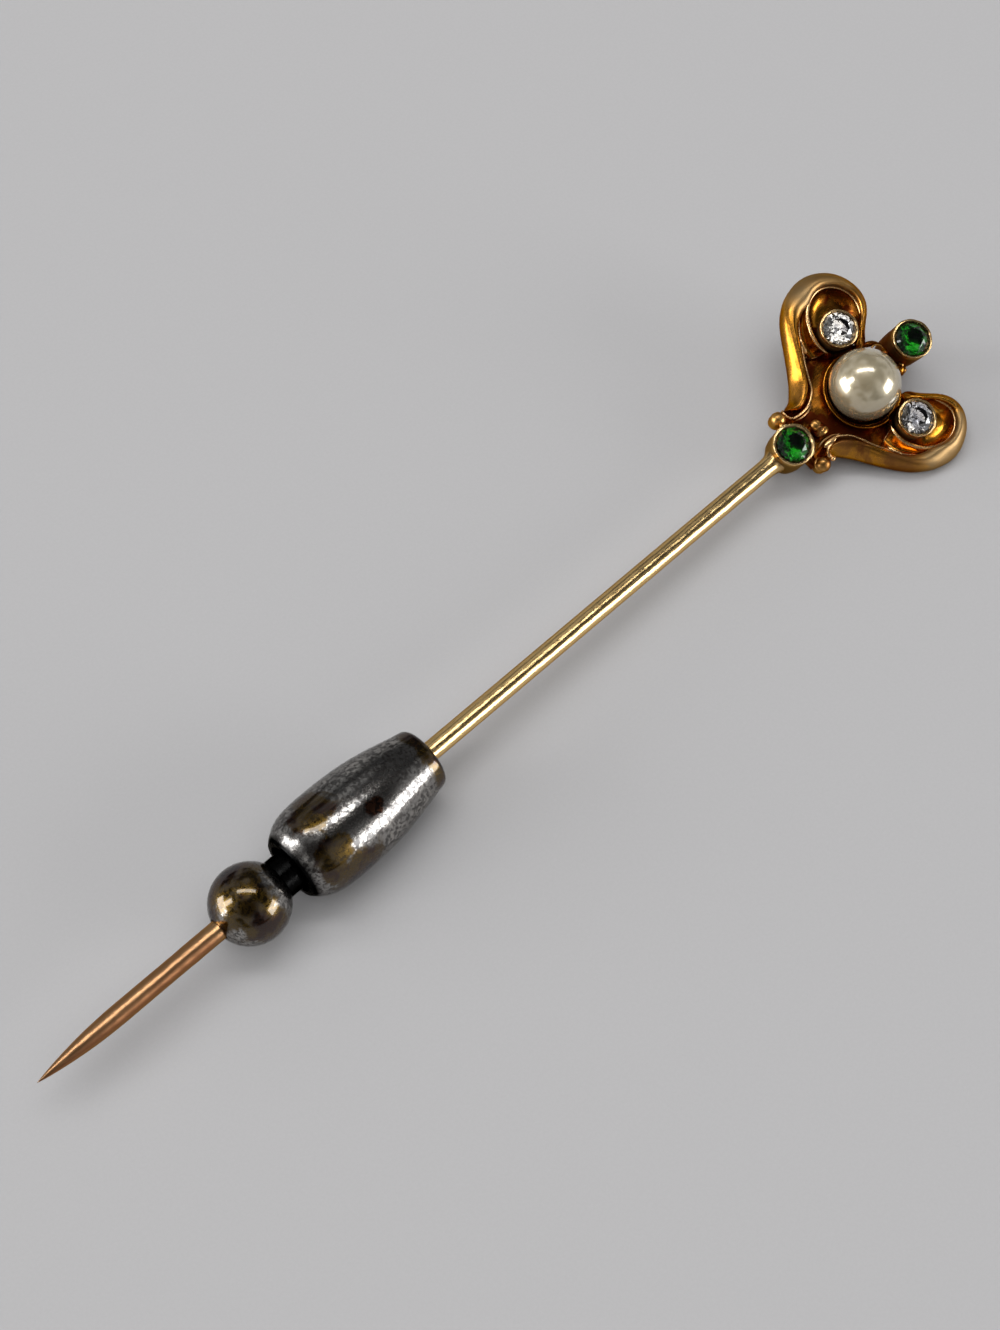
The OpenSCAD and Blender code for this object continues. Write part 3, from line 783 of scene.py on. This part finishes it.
# the recess numbers paint the balls and bars that lie low or behind the others dark, and the spur, as painted
# shade
knob = [ball(at, size, recess=recess) for at, size, recess in (
    ((3.14, 0.02, 0.3), (0.31, 0.34, 0.19), 0.1), ((3.24, -0.44, 0.3), (0.32, 0.23, 0.17), 0.15),
    ((2.96, -0.34, 0.2), (0.22, 0.24, 0.12), 0.9), ((3.2, -0.22, 0.1), 0.4, 0.9))]
bars = [wire([[1.6, 0, -0.3], [2.6, 0, -0.3], [3.5, 0, -0.3]], 0.3, 24, 1.0),
        wire([[1.75, -1.6, -0.25], [1.75, 0, -0.25], [1.75, 1.6, -0.25]], 0.3, 24, 0.8)]
post = rounded([[0, -0.5], [0.42, -0.5], [0.42, 0.1], [0, 0.1]], 0.1)
left_beads = [ball((*SIDE_BEAD, 0.1), 0.43), tube(spin(post, 32, SIDE_BEAD)),
              ball((1.57, 1.2, 0.38), 0.14)]
right_beads = [ball((2.06, -1.8, 0.02), 0.43, recess=0.35), tube(spin(post, 32, (2.0, -1.74)))]
links = [ball((9.12, y, -0.02), 0.42, recess=0.9) for y in (0.52, -0.52)]
link_beads = [ball((9.48, 0.62, 0.22), (0.22, 0.2, 0.19)), ball((9.34, -0.43, 0.2), 0.18),
              ball((9.26, -0.74, 0.16), (0.2, 0.18, 0.18), recess=0.4)]
SPUR = [[8.4, 1.74, -0.3], [8.8, 1.66, -0.3], [9.2, 1.46, -0.3], [9.5, 1.15, -0.3]]
round_ = np.linspace(0, 2 * np.pi, 33)
ring = np.stack([8.93 + 0.36 * np.cos(round_), 0.98 + 0.36 * np.sin(round_), 0.02 + 0 * round_], -1)
gold_piece("knob", knob, BEAD_GOLD)
gold_piece("ties", bars + links + [strand(SPUR, 0.17, 0.5, 1.0)], POLISHED)
gold_piece("left_beads", left_beads, BEAD_GOLD)
gold_piece("link_beads", link_beads + [wire(ring, 0.05)], BEAD_GOLD)
gold_piece("right_beads", right_beads, BEAD_GOLD)

# %% [markdown]
# ## Pearl
# Part of a pearl's light comes from inside it and part comes back from its thin layers of nacre, as
# from a soft mirror. So Metallic stands between 0 and 1, a little subsurface softens the body, and
# a smooth coat over the rougher base gives a sharp highlight within a soft one.

# %% Pearl
NACRE, tree, shader = principled("nacre")
cloud = use_group(tree, PATCHES, {"Scale": 420.0, "Coverage": 0.5, "Softness": 0.25})["Mask"]
worked = use_group(tree, WORKED, {
    "Wave Scale": 500.0, "Wave": 0.12, "Scratch": 0.01, "Stretch": 1.0})
feed(tree, shader, {
    "Base Color": mix(tree, cloud, (0.4, 0.345, 0.23, 1), (0.35, 0.285, 0.175, 1)),
    "Normal": worked["Normal"], "Metallic": 0.63, "Roughness": 0.24,
    "Coat Weight": 1.0, "Coat IOR": 2.1, "Coat Roughness": 0.13, "Subsurface Weight": 0.15,
    "Subsurface Radius": (0.0006, 0.0005, 0.0004), "Subsurface Scale": 0.5})
make_piece("pearl_body", [ball(PEARL_AT, PEARL_R, 96, 128)], HEAD, NACRE, "pin", "pearl")

# %% [markdown]
# ## Stones
# The imported stones already have true facets, so they stay and only get a material. Both kinds are
# glass, and differ in how strongly they bend light and in the colours that they pass: two that flow
# into each other in veils, and a third at the rim. The rim's colour is painted shade, and in the
# brilliants the dark veils are painted dark reflections.

# %% Stones
# Distance from a stone's own axis as a share of its radius: the place minus the centre, less its
# part along the axis, has that length. It places the painted shade at a stone's rim.
group, (*centre, radius), result = new_group(
    "off_axis", {"X": 0.0, "Y": 0.0, "Z": 0.0, "Radius": 0.001}, {"Share": "NodeSocketFloat"})
centre = add(group, "ShaderNodeCombineXYZ", dict(enumerate(centre))).outputs[0]
reach = vectors(group, "SUBTRACT", object_place(group), centre)
axis = tuple(float(v) for v in HEAD @ [0, 0, 1])
up = vectors(group, "DOT_PRODUCT", reach, axis)
along = add(group, "ShaderNodeVectorMath", {0: axis, "Scale": up}, operation="SCALE").outputs[0]
size = vectors(group, "LENGTH", vectors(group, "SUBTRACT", reach, along))
feed(group, result, {"Share": maths(group, "DIVIDE", size, radius)})
OFF_AXIS = group


def cut_glass(name, at, middle, main, rim, bend, flaws, haze, radius):
    """Principled glass of two colours in veils, with a third at its rim, which is painted shade.
    Flaws are a soft bump that bends its inner reflections out of line."""
    material, tree, shader = principled(name)
    x, y, z = lay(np.array([*at, 1.0]), HEAD)
    share = use_group(tree, OFF_AXIS, {"X": x, "Y": y, "Z": z, "Radius": radius * MM})["Share"]
    veil = ramp(tree, noise(tree, object_place(tree), 1500.0, 2.0, 0.5, 1.2), 0.42, 0.6)
    colour = mix(tree, veil, (*main, 1), (*middle, 1))
    colour = mix(tree, ramp(tree, share, 0.62, 1.0), colour, (*rim, 1))
    worked = use_group(tree, WORKED, {
        "Wave Scale": 1900.0, "Wave": flaws, "Scratch": 0.0, "Stretch": 1.0})
    feed(tree, shader, {
        "Base Color": colour, "Normal": worked["Normal"], "Roughness": haze,
        "Transmission Weight": 1.0, "IOR": bend})
    return material


# colours of the veils, of the glass and of its rim, index, flaws, haze and radius; the rim's colour
# is painted shade, and the brilliants' dark veils are painted dark reflections
EMERALD = ((0.007, 0.145, 0.006), (0.002, 0.06, 0.003), (0.0006, 0.008, 0.0006), 1.52, 0.22, 0.08,
           GREEN_R)
BRILLIANT = ((0.1, 0.1, 0.11), (0.6, 0.58, 0.54), (0.55, 0.5, 0.44), 2.4, 0.0, 0.0, DIAMOND_R)
for node, at, kind in (
        ("base_stone", BASE_AT, EMERALD), ("top_stone", TOP_AT, EMERALD),
        ("left_diamond", DIAMOND_AT, BRILLIANT),
        ("right_diamond", (DIAMOND_AT[0], -DIAMOND_AT[1]), BRILLIANT)):
    mesh = frame["nodes"][node].data
    mesh.materials.clear()
    mesh.materials.append(cut_glass(node + "_glass", at, *kind))
    print(node, len(mesh.polygons), "facets")

# %% [markdown]
# ## Keeper
# The keeper was turned from brass and plated, and years of wear have mottled it. Two spun outlines
# make it. Its finish is built in layers: grey plating with fine dark mottling, then stains of olive
# and rust where the plating is gone, then near black in the neck, the bore and the barrel's end,
# painted there as shade. The mesh carries the stains as soft spots, each at its distance along the
# stem and its angle round it, and a noise in the material frays their edges.

# %% Keeper finish
PLATING, tree, shader = principled("worn_plating")
place = object_place(tree)
speckle = use_group(tree, PATCHES, {
    "Scale": 4800.0, "Coverage": 0.5, "Softness": 0.075, "Detail": 9.0})["Mask"]
worked = use_group(tree, WORKED, {
    "Wave Scale": 900.0, "Wave": 0.06, "Scratch Scale": 7000.0, "Scratch": 0.035, "Stretch": 0.6})
frayed = maths(tree, "MULTIPLY", noise(tree, place, 1100.0, 8.0, 0.64, 0.5), 1.3)
stained = ramp(tree, maths(tree, "ADD", attribute(tree, "dull"), frayed), 0.88, 1.12)
rust = ramp(tree, noise(tree, place, 800.0), 0.47, 0.6)
cloudy = ramp(tree, noise(tree, place, 500.0), 0.35, 0.65)
plated = mix(tree, cloudy, (0.36, 0.34, 0.315, 1), (0.23, 0.22, 0.21, 1))
plated = mix(tree, speckle, plated, (0.055, 0.05, 0.047, 1))
stain = mix(tree, rust, (0.07, 0.041, 0.006, 1), (0.03, 0.011, 0.005, 1))
colour = mix(tree, stained, plated, stain)
# near black where the recess is: painted shade in the neck, the bore and the barrel's end
colour = mix(tree, attribute(tree, "recess"), colour, (0.004, 0.004, 0.004, 1))
feed(tree, shader, {
    "Base Color": colour, "Roughness": ramp(tree, speckle, 0, 1, 0.15, 0.32),
    "Normal": worked["Normal"], "Metallic": 1.0, "Specular Tint": (0.35, 0.34, 0.32, 1),
    "Coat Weight": ramp(tree, attribute(tree, "recess"), 0, 1, 0.7, 0.0),
    "Coat IOR": 1.6, "Coat Roughness": 0.08})

# %% Keeper
BORE_R, BARREL_R, BARREL_L, BARREL_AT = 0.575, 2.49, 9.0, 25.75
# distance from the narrow end and radius, as shares of length and of largest radius
BARREL = [
    [0, 0.58], [0.006, 0.63], [0.018, 0.672], [0.037, 0.694], [0.08, 0.724], [0.15, 0.782],
    [0.22, 0.84], [0.29, 0.89], [0.36, 0.932], [0.43, 0.962], [0.5, 0.983], [0.57, 0.995],
    [0.65, 1], [0.73, 1], [0.79, 0.99], [0.84, 0.97], [0.885, 0.93], [0.925, 0.87], [0.955, 0.8],
    [0.98, 0.73], [0.996, 0.67]]
NECK_R, BALL_R, NECK_SHOW, DISH_R, DISH_DEPTH = 1.09, 2.07, 0.53, 1.3, 0.3
RUN_GAP, NECK_DEEP = 0.05, 3.0
# along the stem, angle round it, half length in mm, half width in degrees
BARREL_STAINS = [
    [32.6, 38, 1.2, 26], [30.1, 352, 0.5, 10], [33.1, 342, 1, 22], [32.3, 298, 1.3, 26],
    [33.5, 318, 0.8, 20], [25.6, 0, 0.9, 900], [29.2, 180, 1.2, 36], [32.4, 230, 1, 30],
    [27.6, 110, 0.7, 26]]
BALL_STAINS = [
    [37.7, 44, 1.5, 48], [37.9, 355, 1.3, 40], [37.7, 312, 1.2, 34], [37.2, 200, 1, 60],
    [38, 120, 0.7, 30]]


def ring_body(outline, stains):
    """A spun outline that ends where it began: a ring with a bore. Dullness is the largest of the
    stains, and each falls off as a Gaussian of its two distances."""
    grid = spin(outline, 160)
    rows, cols = grid.shape[:2]
    angle = np.degrees(np.arctan2(grid[..., 1], grid[..., 0]))[..., None]
    along, at_angle, long, wide = np.array(stains, float).T
    away = (angle - at_angle + 180) % 360 - 180
    spots = np.exp(-((grid[..., 2:3] - along) / long) ** 2 - (away / wide) ** 2)
    points = grid_of(grid, spots.max(-1)).reshape(-1, 5)
    return points, grid_quads(rows, cols, rows), np.zeros((0, 3), int)


def barrel_outline():
    """The swelling side through the table, the dished end and the bore. The third number is the
    recess, which is painted shade: soft at the ball's end, and 1 inside."""
    side = smooth_rows(BARREL, 6)
    dirt_and_shade = np.clip((side[:, 0] - 0.955) / 0.03, 0, 1)
    side = np.stack([side[:, 1] * BARREL_R, side[:, 0] * BARREL_L + BARREL_AT, dirt_and_shade], -1)
    end = BARREL_AT + BARREL_L
    inside = [[DISH_R + 0.1, end - 0.02, 1], [DISH_R, end - DISH_DEPTH, 1],
              [NECK_R + RUN_GAP, end - DISH_DEPTH, 1], [NECK_R + RUN_GAP, end - NECK_DEEP, 1],
              [BORE_R, end - NECK_DEEP, 1], [BORE_R, BARREL_AT + 0.05, 1],
              [BORE_R + 0.05, BARREL_AT, 1]]
    return np.vstack([side, inside])


def ball_outline():
    """The neck from inside the barrel, then the ball's arc to the hole round the stem, and back.
    The third number is the recess, which is painted shade: 1 on the neck, and gone a little way up
    the ball."""
    middle = BARREL_AT + BARREL_L + NECK_SHOW + BALL_R
    start = np.arcsin(NECK_R / BALL_R)
    stop = np.pi - np.arcsin((BORE_R + 0.06) / BALL_R)
    angle = np.linspace(start, stop, 72)
    dirt_and_shade = np.clip(1 - (angle - start) / 0.16, 0, 1)
    arc = np.stack([BALL_R * np.sin(angle), middle - BALL_R * np.cos(angle), dirt_and_shade], -1)
    inner = BARREL_AT + BARREL_L - NECK_DEEP + 0.3
    neck = [[BORE_R, inner, 1], [NECK_R, inner, 1],
            [NECK_R, middle - BALL_R * np.cos(start) - 0.06, 1]]
    return np.vstack([neck, arc, [[BORE_R, middle - BALL_R * np.cos(stop) - 0.08, 1]]])


make_piece("barrel_shell", [ring_body(barrel_outline(), BARREL_STAINS)], STEM, PLATING, "keeper",
           "keeper_barrel", 35)
make_piece("ball_shell", [ring_body(ball_outline(), BALL_STAINS)], STEM, PLATING, "release_ball",
           "keeper_ball", 35)

# %% [markdown]
# ## Floor, light and camera
# The pin lies on a pale sheet. The pearl shows what lights it: a soft window at each side, a narrow
# one above the left one, and a long one overhead. A large ceiling light that only matte surfaces
# see fills the shadows. Between them the room is dark, most of all round the camera, and that
# darkness gives metal its depth. The camera looks 61.5 degrees down on the pin.

# %% Floor
material, tree, shader = principled("pale_sheet")
cloud = use_group(tree, PATCHES, {"Scale": 6000.0, "Coverage": 0.5, "Softness": 0.3})["Mask"]
feed(tree, shader, {
    "Base Color": mix(tree, cloud, (0.27, 0.267, 0.27, 1), (0.26, 0.257, 0.26, 1)),
    "Roughness": 0.9, "Specular IOR Level": 0.2})
FLOOR_HALF = 6.0   # metres, far wider than the camera's view
mesh = bpy.data.meshes.new("floor")
corners = [(-1, -1, 0), (1, -1, 0), (1, 1, 0), (-1, 1, 0)]
mesh.from_pydata([[FLOOR_HALF * v for v in corner] for corner in corners], [], [(0, 1, 2, 3)])
mesh.materials.append(material)
floor = put("floor", mesh)

# %% Lights
CAMERA_TURN = 44.06    # degrees from the row's axes to the picture's
ROOM = 2.4             # metres from the pin to the windows


def picture(x, y, z):
    """A place given right, away and up as the camera sees it, turned into the row's frame."""
    return turned(2, -CAMERA_TURN) @ [x, y, z]


def aim(item, place, target, side):
    """Puts an object at a place with its -Z axis on the target and its X axis near to a side."""
    back = unit(np.subtract(place, target))
    side = unit(side - back * np.dot(side, back))
    rows = np.eye(4)
    rows[:3] = np.column_stack([side, np.cross(back, side), back, place])
    item.matrix_world = rows.T.tolist()


def window(name, azimuth, elevation, width, height, glow, flat=False):
    """A soft rectangular light on a sphere round the pin. All angles are in degrees: where it
    stands and how much it covers. Its power is glow x pi x area. A flat one has its long side to
    the right."""
    a, e = np.radians(azimuth), np.radians(elevation)
    place = ROOM * np.array([np.cos(e) * np.cos(a), np.cos(e) * np.sin(a), np.sin(e)])
    size = 2 * ROOM * np.tan(np.radians([width, height]) / 2)
    data = bpy.data.lights.new(name, "AREA")
    data.shape, data.size, data.size_y = "RECTANGLE", *size
    data.energy = glow * np.pi * size.prod()
    item = put(name, data)
    side = picture(1, 0, 0) if flat else picture(-np.sin(a), np.cos(a), 0)
    aim(item, picture(*place), (0, 0, 0), side)
    print(name, "size", np.round(size, 2), "power", round(float(data.energy), 1))


window("left_window", 190, 11, 38, 22, 9.5)
window("left_upper_window", 192, 33, 12, 26, 9.5)
window("right_window", -15, 13, 30, 22, 9.5)
window("top_window", 113, 77, 48, 9, 7.5, flat=True)
window("ceiling", 90, 89, 68, 68, 2.6, flat=True)
bpy.data.objects["ceiling"].visible_glossy = False

world = bpy.data.worlds.new("room")
bpy.context.scene.world = world
world.use_nodes = True
tree = world.node_tree
around = add(tree, "ShaderNodeTexCoord").outputs["Generated"]
walls = ramp(tree, noise(tree, around, 2.4, 2.0, 0.5), 0.44, 0.58)
glow = mix(tree, walls, (0.06, 0.061, 0.064, 1), (0.5, 0.5, 0.5, 1))
# two dark places, round the camera and overhead: direction, cosine at edge and middle, colour
for toward, edge, middle, dark in (
        ((0, -0.57, 0.82), 0.82, 0.975, (0.035, 0.03, 0.03, 1)),
        ((0.467, 0.06, 0.88), 0.88, 0.98, (0.03, 0.03, 0.03, 1))):
    near = vectors(tree, "DOT_PRODUCT", around, tuple(picture(*toward)))
    glow = mix(tree, ramp(tree, near, edge, middle), glow, dark)
feed(tree, tree.nodes["Background"], {"Color": glow, "Strength": 1.0})
bpy.context.scene.view_settings.view_transform = "Standard"

# %% Camera
FOCAL_PX, LONG_SIDE_PX, SENSOR = 2400.0, 1330.0, 36.0
TILT = 61.54
JOINT_SEEN = (14.74, 71.13, 108.32)   # mm right of, away from and below the camera

eye = stem_start - picture(*JOINT_SEEN[:2], -JOINT_SEEN[2]) * MM
down = picture(0, np.cos(np.radians(TILT)), -np.sin(np.radians(TILT)))
data = bpy.data.cameras.new("camera")
data.sensor_width, data.lens = SENSOR, FOCAL_PX * SENSOR / LONG_SIDE_PX
data.clip_start, data.clip_end = 0.01, 30.0
camera = put("camera", data)
aim(camera, eye, eye + down, picture(1, 0, 0))
bpy.context.scene.camera = camera
print("camera at", np.round(eye / MM, 1), "lens", round(data.lens, 2))
